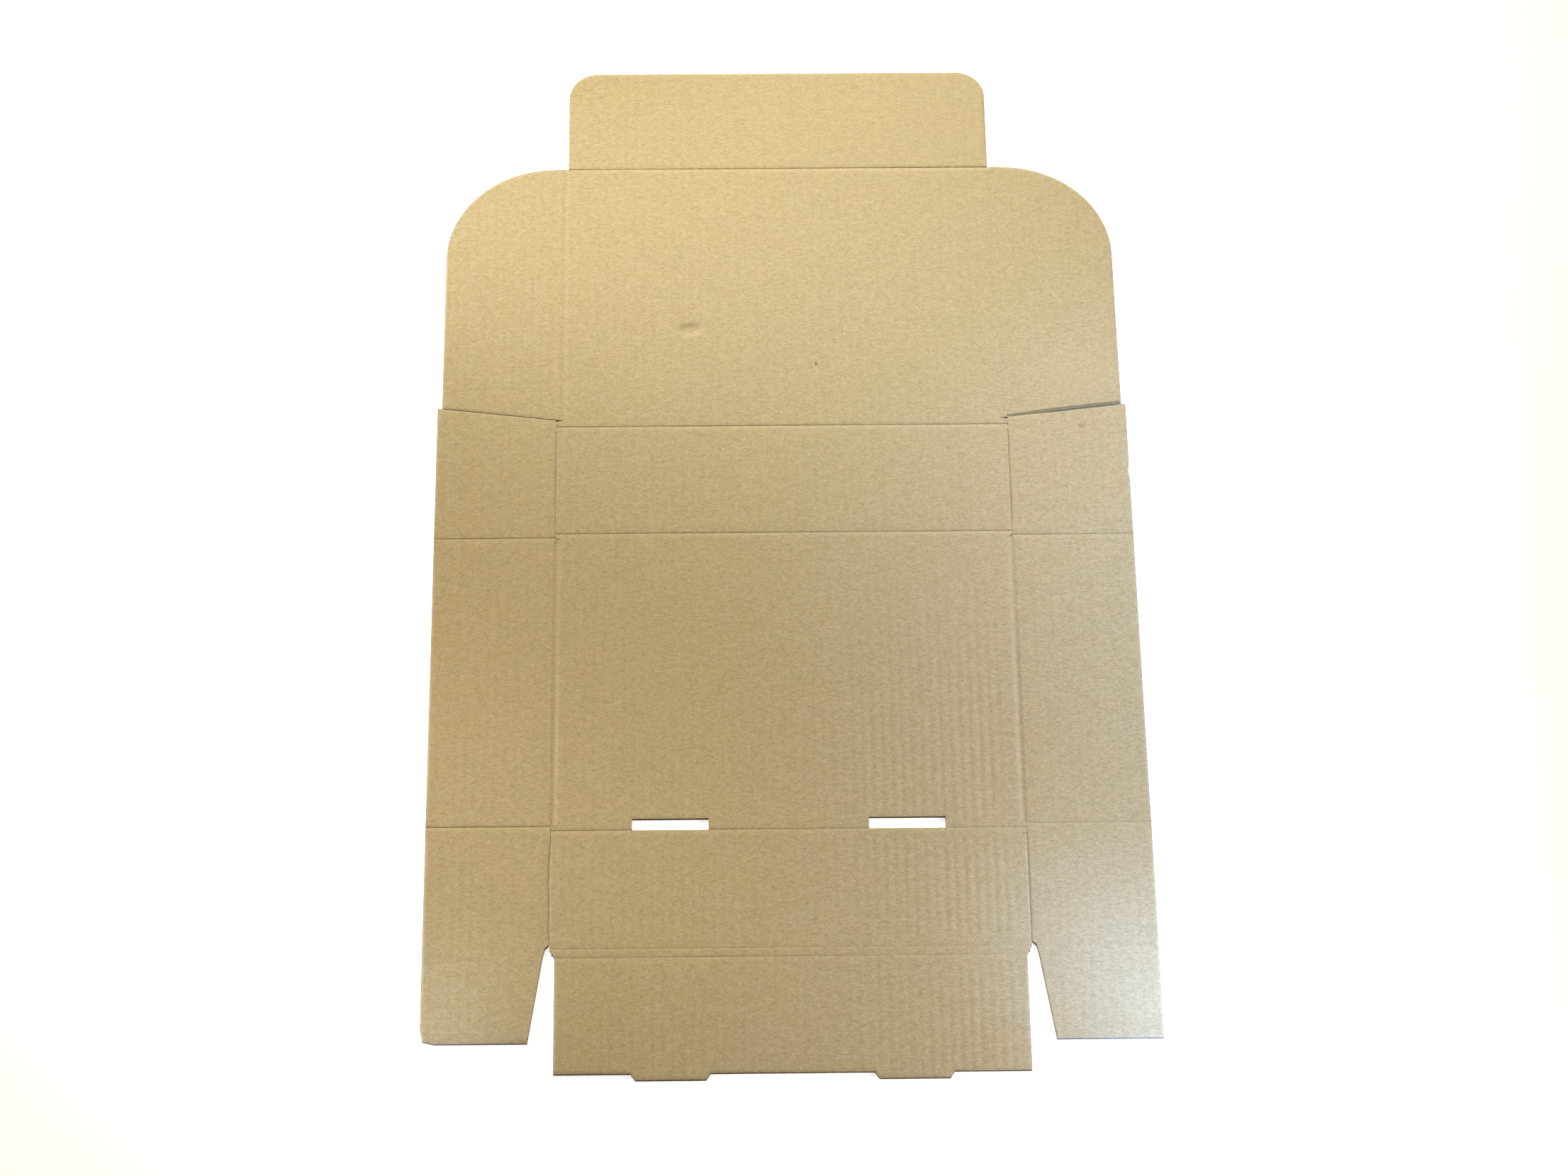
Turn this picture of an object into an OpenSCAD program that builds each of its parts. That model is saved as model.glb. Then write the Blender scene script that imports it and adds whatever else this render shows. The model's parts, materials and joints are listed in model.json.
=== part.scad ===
// Single wall cardboard mailing box, as the flat die-cut blank that it is folded from.
// One sheet of B-flute board, inside face up, with the flutes along Y. Every panel hangs on a
// crease: a V pressed into the inside face down to the middle of the board, where it folds.
// Origin: centre of the base panel, on the underside. +Y runs to the lid, -Y to the front.

/* [Box] */
// Width of the base panel, from side crease to side crease
base_w = 307.2; // [240:0.1:400]
// Depth of the base panel, from front crease to back crease
base_d = 224; // [160:0.5:300]
// Height of the back and front walls, from crease to crease
wall_h = 85; // [60:0.5:110]

/* [Board] */
// Caliper of the board
board_t = 2.8; // [2.2:0.1:3.4]
// Distance from one flute to the next
flute_pitch = 6.5; // [5.6:0.1:8]
// Thickness of each flat liner
liner_t = 0.35; // [0.2:0.05:0.5]
// Thickness of the fluted medium between the liners
medium_t = 0.3; // [0.2:0.05:0.4]
// Flat of a flute's crest, where it is glued to a liner
crest_w = 1.4; // [0.8:0.1:2]
// Length over which the flutes are crushed flat beside a crease
crush_w = 4; // [2.5:0.5:8]
// Solid margin kept between a flute channel and an edge that runs along it
edge_w = 0.8; // [0.4:0.1:2]

/* [Fits] */
// Clearance between panels that lie together in the folded box
fold_gap = 0.3; // [0.2:0.05:0.6]
// Extra opening of each crease's V beyond a square fold
crease_relief = 0.1; // [0.05:0.05:0.3]
// Width of the slit between the lid's wings and the rear corner flaps
slit_w = 0.5; // [0.3:0.1:1]

/* [Walls] */
// How far the back wall stands out past the side crease
back_ear = 1; // [0.5:0.1:2]
// How far the front wall stands out past the side crease
front_ear = 1.6; // [0.5:0.1:2.5]
// Height of the diagonal relief cut where a wall meets the base
ear_rise = 4; // [2:0.5:8]

/* [Lid] */
// Corner radius of the tuck flap
tuck_r = 21; // [5:1:40]
// Radius of the lid wings' front corners
wing_r = 75; // [30:1:78]
// Start of the wing's rear edge, beyond the lid crease, at the wing crease
wing_rise_in = 5.4; // [5:0.1:10]
// End of the wing's rear edge, beyond the lid crease, at the wing's outer side
wing_rise_out = 15.8; // [12:0.1:30]
// Height of the relief cut at the lid's rear corners
hook_rise = 3.4; // [2:0.1:5]

/* [Front lock] */
// Length of each lock slot in the base
slot_l = 50; // [30:0.5:70]
// Distance of a slot's middle from the middle of the base
slot_x = 77.4; // [50:0.1:100]
// Length by which a lock tab stands out from the roll-over flap
tab_h = 4.5; // [3:0.1:6]
// Play of a tab's tip at each end of its slot
tab_play = 2.4; // [1:0.1:4]
// Slant of a tab's sides, from root to tip
tab_flare = 2.8; // [1:0.1:4]

/* [Corner flaps] */
// Gap left between the two front corner flaps in the folded box
flap_meet = 0.6; // [0.4:0.1:10]
// Distance of the taper's start from the side crease
taper_in = 5; // [4:0.1:10]
// Distance of the taper's end from the side crease
taper_out = 15; // [10:0.5:40]
// Height of the step where a front flap's taper starts
taper_step = 3; // [1:0.5:8]

/* [Hidden] */
$fn = 96;
kraft = [0.76, 0.62, 0.42];
kraft_lid = [0.82, 0.69, 0.48];
past = 1; // how far a cutting shape runs past the face that it cuts

half_t = board_t / 2;
// a panel folded against another lies this far inside it, crease to crease
nest = board_t + fold_gap;

// half widths
side_x = base_w / 2;
back_x = side_x + back_ear;
front_x = side_x + front_ear;
roll_x = side_x - half_t - fold_gap;
wing_x = side_x - nest;
tuck_x = wing_x - half_t - fold_gap;
// an edge that swings up past a wall's standing ear clears the ear's upper corner
rear_flap_x = side_x + norm([back_ear, half_t]) + fold_gap;
front_flap_x = side_x + norm([front_ear, half_t]) + fold_gap;
// heights under a closed lid or spine
under_h = wall_h - half_t - fold_gap;
side_out = side_x + under_h;
wing_out = wing_x + under_h;

// the front spine spans two boards with a corner flap caught between them
spine_d = 2 * nest;
lid_d = base_d - spine_d - nest;
tuck_h = under_h;
roll_h = wall_h - tab_h;
flap_l = side_x - flap_meet / 2;
slot_d = spine_d + half_t + 2 * fold_gap;

// crease and edge lines along Y
back_y = base_d / 2;
lid_y = back_y + wall_h;
tuck_y = lid_y + lid_d;
top_y = tuck_y + tuck_h;
front_y = -base_d / 2;
spine_y = front_y - wall_h;
roll_y = spine_y - spine_d;
end_y = roll_y - roll_h;
flap_y = back_y - nest;
flap_end_y = -flap_y - flap_l;

// rise of the wing's rear edge beyond the lid crease, at half width x
wing_slope = (wing_rise_out - wing_rise_in) / (wing_out - wing_x);
function wing_rear_y(x) = lid_y + wing_rise_in + wing_slope * (x - wing_x);

// flute channel: half widths at its glued side and at its bottom, and its depth
channel_d = board_t - 2 * liner_t - medium_t;
channel_in = crest_w / 2 - medium_t / 2;
channel_out = flute_pitch / 2 - channel_in - medium_t * norm([channel_d, flute_pitch / 2 - crest_w]) / channel_d;

// a panel of board from its flat outline
module sheet() {
    linear_extrude(board_t) children();
}

// V of a crease along X, of length l, with its point in the middle of the board
module crease(l) {
    slope = (half_t + crease_relief) / half_t;
    rise = half_t + past;
    rotate([90, 0, 90])
        linear_extrude(l, center = true)
            polygon([[0, half_t], [slope * rise, half_t + rise], [-slope * rise, half_t + rise]]);
}

// crease across the sheet at y, over all panels
module crease_at_y(y) {
    translate([0, y, 0]) crease(2 * side_out + 2 * past);
}

// crease along the sheet at x, from y0 to y1
module crease_at_x(x, y0, y1) {
    translate([x, (y0 + y1) / 2, 0]) rotate(90) crease(y1 - y0);
}

// open flutes along Y between x0 and x1, above and below the medium by turns
module flutes(x0, x1, y0, y1) {
    step = flute_pitch / 2;
    first = ceil((x0 + channel_out) / step);
    last = floor((x1 - channel_out) / step);
    translate([0, y1, 0])
        rotate([90, 0, 0])
            linear_extrude(y1 - y0)
                for (i = [first:last])
                    translate([i * step, half_t])
                        scale([1, i % 2 == 0 ? 1 : -1])
                            flute_section();
}

// section of one channel, wide at its liner and narrow at the medium
module flute_section() {
    top = half_t - liner_t;
    polygon([
        [-channel_out, top], [-channel_in, top - channel_d],
        [channel_in, top - channel_d], [channel_out, top],
    ]);
}

// takes the square corner at [x, y] down to a round one; sx and sy point out of the corner
module round_corner(x, y, r, sx, sy) {
    translate([x, y])
        scale([sx, sy])
            translate([-r, -r])
                difference() {
                    square(r + past);
                    circle(r);
                }
}

// mirrors a right-hand panel to the side given: -1 for left, 1 for right
module on_side(side) {
    mirror([side < 0 ? 1 : 0, 0, 0]) children();
}

// Floor of the box, with a lock slot on each side that opens into the front crease
module base_panel() {
    color(kraft)
        difference() {
            sheet()
                difference() {
                    translate([-side_x, front_y]) square([base_w, base_d]);
                    for (s = [-1, 1])
                        translate([s * slot_x - slot_l / 2, front_y - past])
                            square([slot_l, slot_d + past]);
                }
            for (y = [front_y, back_y])
                crease_at_y(y);
            for (x = [-side_x, side_x])
                crease_at_x(x, front_y - past, back_y + past);
        }
}

// Wall between the base and the lid, with a standing ear at each end
module back_wall() {
    color(kraft)
        difference() {
            sheet()
                polygon([
                    [-side_x, back_y], [side_x, back_y], [back_x, back_y + ear_rise],
                    [back_x, lid_y], [-back_x, lid_y], [-back_x, back_y + ear_rise],
                ]);
            crease_at_y(back_y);
            crease_at_y(lid_y);
        }
}

// Top of the box, with relief cuts at its two rear corners
module lid_panel() {
    color(kraft_lid)
        difference() {
            sheet()
                polygon([
                    [-back_x, lid_y], [back_x, lid_y], [wing_x, lid_y + hook_rise],
                    [wing_x, tuck_y], [-wing_x, tuck_y], [-wing_x, lid_y + hook_rise],
                ]);
            crease_at_y(lid_y);
            crease_at_y(tuck_y);
            for (x = [-wing_x, wing_x])
                crease_at_x(x, lid_y + hook_rise, tuck_y + past);
        }
}

// Front flap of the lid, which tucks down inside the front of the box
module tuck_flap() {
    color(kraft_lid)
        difference() {
            sheet()
                difference() {
                    translate([-tuck_x, tuck_y]) square([2 * tuck_x, tuck_h]);
                    for (s = [-1, 1])
                        round_corner(s * tuck_x, top_y, tuck_r, s, 1);
                }
            crease_at_y(tuck_y);
            flutes(edge_w - tuck_x, tuck_x - edge_w, tuck_y + crush_w, top_y + past);
        }
}

// Wing of the lid, which goes down inside a side wall; its rear edge is cut aslant
module lid_wing(side) {
    color(kraft_lid)
        on_side(side)
            difference() {
                sheet()
                    difference() {
                        polygon([
                            [wing_x, wing_rear_y(wing_x)], [wing_out, wing_rear_y(wing_out)],
                            [wing_out, tuck_y], [wing_x, tuck_y],
                        ]);
                        round_corner(wing_out, tuck_y, wing_r, 1, 1);
                    }
                crease_at_x(wing_x, lid_y, tuck_y + past);
                flutes(wing_x + crush_w, wing_out - edge_w, lid_y, tuck_y + past);
            }
}

// Side wall, with a corner flap on each end
module side_wall(side) {
    color(kraft)
        on_side(side)
            difference() {
                sheet() translate([side_x, -flap_y]) square([under_h, 2 * flap_y]);
                crease_at_x(side_x, -flap_y - past, flap_y + past);
                for (y = [-flap_y, flap_y])
                    crease_at_y(y);
            }
}

// Corner flap behind the back wall, up to the slit along the lid's wing
module rear_corner_flap(side) {
    slit_y = slit_w * norm([1, wing_slope]);
    color(kraft)
        on_side(side)
            difference() {
                sheet()
                    polygon([
                        [rear_flap_x, flap_y], [side_out, flap_y],
                        [side_out, wing_rear_y(side_out) - slit_y],
                        [rear_flap_x, wing_rear_y(rear_flap_x) - slit_y],
                    ]);
                crease_at_y(flap_y);
                flutes(rear_flap_x + edge_w, side_out - edge_w, flap_y + crush_w,
                    wing_rear_y(side_out));
            }
}

// Corner flap caught inside the double front wall; its lower edge tapers to the end
module front_corner_flap(side) {
    color(kraft)
        on_side(side)
            difference() {
                sheet()
                    polygon([
                        [front_flap_x, -flap_y], [side_out, -flap_y],
                        [side_out, flap_end_y], [side_x + taper_out, flap_end_y],
                        [side_x + taper_in, spine_y], [front_flap_x, spine_y + taper_step],
                    ]);
                crease_at_y(-flap_y);
                flutes(side_x + taper_out + edge_w, side_out - edge_w, flap_end_y - past,
                    -flap_y - crush_w);
            }
}

// Outer front wall
module front_wall() {
    color(kraft)
        difference() {
            sheet()
                polygon([
                    [-side_x, front_y], [side_x, front_y], [front_x, front_y - ear_rise],
                    [front_x, spine_y], [-front_x, spine_y], [-front_x, front_y - ear_rise],
                ]);
            crease_at_y(front_y);
            crease_at_y(spine_y);
        }
}

// Narrow strip between the double crease, the top edge of the front wall
module front_spine() {
    color(kraft)
        difference() {
            sheet()
                polygon([
                    [-front_x, spine_y], [front_x, spine_y], [roll_x, roll_y], [-roll_x, roll_y],
                ]);
            crease_at_y(spine_y);
            crease_at_y(roll_y);
        }
}

// Inner front wall, rolled over the corner flaps, with two tabs for the slots in the base
module rollover_flap() {
    tip = slot_l / 2 - tab_play;
    root = tip + tab_flare;
    color(kraft)
        difference() {
            sheet() {
                translate([-roll_x, end_y]) square([2 * roll_x, roll_h]);
                for (s = [-1, 1])
                    translate([s * slot_x, end_y])
                        polygon([
                            [-root, 0], [-tip, -tab_h], [tip, -tab_h], [root, 0],
                            [root, crush_w], [-root, crush_w],
                        ]);
            }
            crease_at_y(roll_y);
            flutes(edge_w - roll_x, roll_x - edge_w, end_y - tab_h - past, roll_y - crush_w);
        }
}

base_panel();
back_wall();
lid_panel();
tuck_flap();
lid_wing(-1);  // lid_wing_left
lid_wing(1);  // lid_wing_right
side_wall(-1);  // side_wall_left
side_wall(1);  // side_wall_right
rear_corner_flap(-1);  // rear_corner_flap_left
rear_corner_flap(1);  // rear_corner_flap_right
front_corner_flap(-1);  // front_corner_flap_left
front_corner_flap(1);  // front_corner_flap_right
front_wall();
front_spine();
rollover_flap();
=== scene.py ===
# Single wall cardboard box, as the flat blank that it is folded from: one sheet of fluted kraft
# board, die cut and creased, lying on a table with its inside face up.
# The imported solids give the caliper, every crease line and every cut edge.
import json
import math

import bpy
import numpy as np
from mathutils import Matrix, Vector

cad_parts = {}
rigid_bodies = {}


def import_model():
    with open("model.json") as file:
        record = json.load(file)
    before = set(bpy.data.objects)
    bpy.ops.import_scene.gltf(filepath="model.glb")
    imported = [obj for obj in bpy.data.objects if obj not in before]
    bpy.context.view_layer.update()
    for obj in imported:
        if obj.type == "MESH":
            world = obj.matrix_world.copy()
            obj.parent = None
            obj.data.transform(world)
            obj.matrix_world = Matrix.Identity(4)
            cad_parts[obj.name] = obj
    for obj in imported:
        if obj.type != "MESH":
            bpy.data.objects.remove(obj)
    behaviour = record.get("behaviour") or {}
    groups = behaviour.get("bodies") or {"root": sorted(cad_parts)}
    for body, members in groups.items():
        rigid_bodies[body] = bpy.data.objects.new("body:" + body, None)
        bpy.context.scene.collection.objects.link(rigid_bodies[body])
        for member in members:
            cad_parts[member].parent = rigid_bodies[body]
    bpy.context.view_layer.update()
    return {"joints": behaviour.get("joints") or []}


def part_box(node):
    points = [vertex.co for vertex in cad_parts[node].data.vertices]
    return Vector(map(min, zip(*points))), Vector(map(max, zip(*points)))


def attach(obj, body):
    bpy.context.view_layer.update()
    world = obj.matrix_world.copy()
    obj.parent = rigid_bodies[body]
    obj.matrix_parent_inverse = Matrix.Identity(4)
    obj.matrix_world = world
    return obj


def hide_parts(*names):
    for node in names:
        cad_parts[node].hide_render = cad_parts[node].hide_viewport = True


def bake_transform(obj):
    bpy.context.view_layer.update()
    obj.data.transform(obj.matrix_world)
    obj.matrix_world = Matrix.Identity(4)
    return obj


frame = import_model()
scene = bpy.context.scene

# Kraft paper: recycled fibres, matted in short strokes, with a few dark and pale flecks.
# The papermaker's side of it, colour, roughness and tooth, is one group that every face of the
# board uses with its own tone. Faint bands of painted shade darken a liner over the hollows between flutes.
flute_pitch = 0.0065
streak_cells, streak_fractal = (300.0, 620.0, 500.0), (5.0, 0.62)
cloud_cells, cloud_fractal = (55.0, 70.0, 55.0), (3.0, 0.55)
tooth_cells, tooth_fractal = (850.0, 1050.0, 850.0), (2.0, 0.6)
fleck_cells = (290.0, 380.0, 300.0)
fleck_radius, fleck_core = 0.17, 0.4
dark_fleck_draw = (0.86, 0.99)
pale_fleck_draw = (0.6, 0.95)
dark_fleck = (0.21, 0.14, 0.075, 1)
pale_fleck = (0.72, 0.6, 0.4, 1)
cloud_range = (0.35, 0.65)
warm_tint = (1.009, 1.0, 0.987, 1)
cool_tint = (0.991, 1.0, 1.013, 1)
tooth_contrast = 0.7
grain_greyness = 0.4
least_roughness, streak_roughness = 0.45, 0.2
streak_relief, tooth_relief = 0.6, 0.4
bump_strength = 0.5
specular = 0.42
sheen, sheen_roughness = 0.3, 0.45


def add_node(tree, kind, settings=None, **inputs):
    """Adds a node; each input is a value or another node's output.

    An input's key is the socket's name, or the letter i and its number.
    """
    node = tree.nodes.new(kind)
    for key, value in (settings or {}).items():
        setattr(node, key, value)
    for key, value in inputs.items():
        socket = node.inputs[int(key[1:]) if key[1:].isdigit() else key.replace("_", " ")]
        if isinstance(value, bpy.types.NodeSocket):
            tree.links.new(value, socket)
        else:
            socket.default_value = value
    return node


def maths(tree, operation, first, second=0.0, third=0.0):
    node = add_node(tree, "ShaderNodeMath", {"operation": operation}, i0=first, i1=second, i2=third)
    return node.outputs[0]


def vectors(tree, operation, **inputs):
    return add_node(tree, "ShaderNodeVectorMath", {"operation": operation}, **inputs)


def mixed(tree, share, first, second):
    """Two colours, mixed."""
    return add_node(tree, "ShaderNodeMix", {"data_type": "RGBA"}, i0=share, i6=first, i7=second).outputs[2]


def ramp(tree, value, low, high):
    """A smooth step from 0 to 1, as value goes from low to high."""
    return add_node(tree, "ShaderNodeMapRange", {"interpolation_type": "SMOOTHSTEP"}, i0=value, i1=low,
                    i2=high).outputs[0]


def stretched(tree, where, cells):
    return add_node(tree, "ShaderNodeMapping", Vector=where, Scale=cells).outputs[0]


def noise(tree, where, cells, detail, roughness):
    return add_node(tree, "ShaderNodeTexNoise", Vector=stretched(tree, where, cells), Scale=1.0,
                    Detail=detail, Roughness=roughness).outputs["Fac"]


def group_with(name, inputs, outputs):
    """An empty shader node group with named sockets: (name, kind, default) for each input."""
    tree = bpy.data.node_groups.new(name, "ShaderNodeTree")
    for label, kind, default in inputs:
        socket = tree.interface.new_socket(label, in_out="INPUT", socket_type=kind)
        socket.default_value = default
    for label, kind in outputs:
        tree.interface.new_socket(label, in_out="OUTPUT", socket_type=kind)
    return tree, tree.nodes.new("NodeGroupInput"), tree.nodes.new("NodeGroupOutput")


kraft, kraft_in, kraft_out = group_with(
    "Kraft Paper",
    [("Tone", "NodeSocketColor", (0.5, 0.36, 0.19, 1)), ("Streaks", "NodeSocketFloat", 0.2),
     ("Flecks", "NodeSocketFloat", 0.5), ("Flute Bands", "NodeSocketFloat", 0.05),
     ("Flute Pitch", "NodeSocketFloat", flute_pitch)],
    [("Color", "NodeSocketColor"), ("Roughness", "NodeSocketFloat"), ("Height", "NodeSocketFloat")])
paper_tone = kraft_in.outputs["Tone"]
place = kraft.nodes.new("ShaderNodeTexCoord").outputs["Object"]
streak = noise(kraft, place, streak_cells, *streak_fractal)
cloud = noise(kraft, place, cloud_cells, *cloud_fractal)
tooth = noise(kraft, place, tooth_cells, *tooth_fractal)
cell = add_node(kraft, "ShaderNodeTexVoronoi", Vector=stretched(kraft, place, fleck_cells), Scale=1.0)
draw = add_node(kraft, "ShaderNodeSeparateColor", Color=cell.outputs["Color"])
spot = ramp(kraft, cell.outputs["Distance"], fleck_radius, fleck_radius * fleck_core)
spot = maths(kraft, "MULTIPLY", spot, kraft_in.outputs["Flecks"])
dark_spot = maths(kraft, "MULTIPLY", spot, ramp(kraft, draw.outputs[0], *dark_fleck_draw))
pale_spot = maths(kraft, "MULTIPLY", spot, ramp(kraft, draw.outputs[1], *pale_fleck_draw))
# Painted shade: the colour darkens in faint bands over the flute hollows, where the liner sinks.
across = add_node(kraft, "ShaderNodeSeparateXYZ", Vector=place).outputs[0]
phase = maths(kraft, "DIVIDE", across, kraft_in.outputs["Flute Pitch"])
phase = maths(kraft, "MULTIPLY", phase, 2 * math.pi)
trough = maths(kraft, "MULTIPLY_ADD", maths(kraft, "COSINE", phase), -0.5, 0.5)
painted_hollow_shade = maths(kraft, "MULTIPLY", trough, kraft_in.outputs["Flute Bands"])
grain = maths(kraft, "MULTIPLY", maths(kraft, "SUBTRACT", streak, 0.5), kraft_in.outputs["Streaks"])
tooth_grain = maths(kraft, "MULTIPLY_ADD", tooth, tooth_contrast, -tooth_contrast / 2)
grain = maths(kraft, "ADD", grain, tooth_grain)
grey = add_node(kraft, "ShaderNodeRGBToBW", Color=paper_tone).outputs[0]
grain_tone = mixed(kraft, grain_greyness, paper_tone, grey)
tint = mixed(kraft, ramp(kraft, cloud, *cloud_range), cool_tint, warm_tint)
tinted = vectors(kraft, "MULTIPLY", i0=paper_tone, i1=tint).outputs[0]
shaded_in_hollows = vectors(kraft, "SCALE", i0=tinted, Scale=maths(kraft, "SUBTRACT", 1.0, painted_hollow_shade)).outputs[0]
toned = vectors(kraft, "MULTIPLY_ADD", i0=grain, i1=grain_tone, i2=shaded_in_hollows).outputs[0]
flecked = mixed(kraft, pale_spot, mixed(kraft, dark_spot, toned, dark_fleck), pale_fleck)
rough = maths(kraft, "MULTIPLY_ADD", streak, streak_roughness, least_roughness)
relief = maths(kraft, "MULTIPLY_ADD", streak, streak_relief, maths(kraft, "MULTIPLY", tooth, tooth_relief))
kraft.links.new(flecked, kraft_out.inputs["Color"])
kraft.links.new(rough, kraft_out.inputs["Roughness"])
kraft.links.new(relief, kraft_out.inputs["Height"])


def kraft_finish(name, tone, streaks, flecks, bands, tooth_depth):
    """A kraft paper material."""
    material = bpy.data.materials.new(name)
    material.use_nodes = True
    tree = material.node_tree
    paper = tree.nodes["Principled BSDF"]
    fibre = add_node(tree, "ShaderNodeGroup", {"node_tree": kraft}, Tone=tone, Streaks=streaks, Flecks=flecks,
                     Flute_Bands=bands, Flute_Pitch=flute_pitch)
    bump = add_node(tree, "ShaderNodeBump", Strength=bump_strength, Distance=tooth_depth,
                    Height=fibre.outputs["Height"])
    tree.links.new(fibre.outputs["Color"], paper.inputs["Base Color"])
    tree.links.new(fibre.outputs["Roughness"], paper.inputs["Roughness"])
    tree.links.new(bump.outputs[0], paper.inputs["Normal"])
    paper.inputs["Specular IOR Level"].default_value = specular
    paper.inputs["Sheen Weight"].default_value = sheen
    paper.inputs["Sheen Roughness"].default_value = sheen_roughness
    return material


# Each finish below sets its own strength of painted shade in the flute hollows.
inside_face = kraft_finish("kraft_inside_liner", tone=(0.55, 0.405, 0.205, 1), streaks=0.7, flecks=0.75,
                           bands=0.02, tooth_depth=0.0001)
outside_face = kraft_finish("kraft_outside_liner", tone=(0.49, 0.35, 0.175, 1), streaks=0.6, flecks=0.6,
                            bands=0.015, tooth_depth=0.00008)
cut_face = kraft_finish("kraft_cut_edge", tone=(0.43, 0.305, 0.16, 1), streaks=0.35, flecks=0.3,
                        bands=0.0, tooth_depth=0.00012)
fluting_face = kraft_finish("kraft_fluting", tone=(0.37, 0.265, 0.145, 1), streaks=0.3, flecks=0.4,
                            bands=0.0, tooth_depth=0.0001)
board_faces = [inside_face, outside_face, cut_face]

# Marks on the inside liner: a dark speck on the lid and a brown smudge on the right rear flap.
# Both are dirt on the paper, ragged at the rim, so one group masks them in the liner's colour.
speck_at, speck_half = (0.024, 0.247, 0), (0.0011, 0.0017, 0.1)
speck_colour, speck_strength = (0.09, 0.06, 0.035, 1), 0.9
smudge_at, smudge_half = (0.2059, 0.1951, 0), (0.0045, 0.0028, 0.1)
smudge_colour, smudge_strength = (0.33, 0.2, 0.11, 1), 0.55
rim_cells, rim_fractal = (500.0, 500.0, 500.0), (3.0, 0.6)
rim_outer, rim_inner = 1.6, 0.7

mark, mark_in, mark_out = group_with(
    "Paper Mark",
    [("Centre", "NodeSocketVector", (0, 0, 0)), ("Half Size", "NodeSocketVector", (0.001, 0.001, 0.1)),
     ("Strength", "NodeSocketFloat", 1.0)],
    [("Mask", "NodeSocketFloat")])
mark_place = mark.nodes.new("ShaderNodeTexCoord").outputs["Object"]
offset = vectors(mark, "SUBTRACT", i0=mark_place, i1=mark_in.outputs["Centre"]).outputs[0]
shares = vectors(mark, "DIVIDE", i0=offset, i1=mark_in.outputs["Half Size"]).outputs[0]
reach = vectors(mark, "LENGTH", i0=shares).outputs["Value"]
ragged = maths(mark, "ADD", reach, noise(mark, mark_place, rim_cells, *rim_fractal))
mask = maths(mark, "MULTIPLY", ramp(mark, ragged, rim_outer, rim_inner), mark_in.outputs["Strength"])
mark.links.new(mask, mark_out.inputs["Mask"])

inside_tree = inside_face.node_tree
paper_colour = inside_tree.nodes["Principled BSDF"].inputs["Base Color"]
for centre, half, colour, strength in ((speck_at, speck_half, speck_colour, speck_strength),
                                       (smudge_at, smudge_half, smudge_colour, smudge_strength)):
    dirt = add_node(inside_tree, "ShaderNodeGroup", {"node_tree": mark}, Centre=centre, Half_Size=half,
                    Strength=strength)
    marked = mixed(inside_tree, dirt.outputs["Mask"], paper_colour.links[0].from_socket, colour)
    inside_tree.links.new(marked, paper_colour)

# Base panel: the floor of the box, two flat liners glued to a fluted medium with the flutes from
# front to back. Two lock slots are punched through it, against the front crease. The same way of
# building a panel of board serves the whole blank: liners that sink a little between the flutes.
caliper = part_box("base_panel")[1][2]
side_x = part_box("base_panel")[1][0]
back_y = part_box("base_panel")[1][1]
front_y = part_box("base_panel")[0][1]
liner = 0.00035
medium = 0.0003
medium_inset = 0.00015
washboard = 0.00018
sway_height = 0.000018
sway_waves = ((9.1, 4.3, 0.6), (-13.7, 5.2, 2.1), (3.9, 17.3, 0.0))
least_wear, handled_wear = 0.4, 1.1
handled_x, handled_fade, handled_left, handled_rear, handled_run = 0.16, 0.03, -0.17, 0.1, 0.2
uneven_share = 0.35
uneven_fine, uneven_broad, uneven_along = 157, 61, 9
crease_half = 0.004
flute_rise = 0.008
pinch, pinch_reach = 0.0004, 0.0014
pinch_rows = np.array([0, 0.0003, 0.0008, 0.0016, 0.003])
edge_columns = np.array([0, 0.0002, 0.0006, 0.0012])
edge_margin = 0.0015
lean_reach = 0.001
columns_per_flute, medium_columns = 6, 12
row_step = 0.012
short_rows = 4
rows_to_medium = 4
sharp_angle = math.radians(35)
slot_first, slot_last, slot_depth = 0.0524, 0.1024, 0.0082
jump = 0.00002

crease_lines = []
for joint in frame["joints"]:
    runs_x = abs(joint["axis"][0]) > 0.5
    way = 0 if runs_x else 1
    ends = [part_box(joint[side]) for side in ("parent", "child")]
    first = max(low[way] for low, high in ends)
    last = min(high[way] for low, high in ends)
    crease_lines.append((runs_x, joint["pos_m"][1 - way], first, last))


def smooth(value):
    value = np.clip(value, 0, 1)
    return value * value * (3 - 2 * value)


def nowhere(x, y):
    return np.zeros(np.shape(x))


def in_place(x, y):
    return x, y


def flute_height(x, y):
    """0 where a crease has crushed the flutes, 1 where they stand up."""
    near = np.full(np.shape(x), 1.0)
    for runs_x, line, first, last in crease_lines:
        along, off = (x, y - line) if runs_x else (y, x - line)
        past = np.maximum(np.maximum(first - along, along - last), 0)
        near = np.minimum(near, np.hypot(off, past))
    return smooth((near - crease_half) / flute_rise)


def sway(x, y):
    """How far the sheet stands off the table as it lies, up to a tenth of a millimetre."""
    return sway_height * sum(1 + np.sin(a * x + b * y + start) for a, b, start in sway_waves)


def sink(x, y):
    """How far a liner dips between flutes; most on the front half, right of the middle, from handling."""
    handled = smooth((handled_x - np.abs(x)) / handled_fade) * smooth((handled_rear - y) / handled_run)
    worn = least_wear + handled_wear * handled * smooth((x - handled_left) / handled_run)
    uneven = 1 + uneven_share * np.sin(uneven_fine * x) * np.sin(uneven_broad * x + uneven_along * y)
    hollow = (0.5 - 0.5 * np.cos(2 * math.pi * x / flute_pitch)) ** 2
    return washboard * worn * uneven * hollow * flute_height(x, y)


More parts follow.
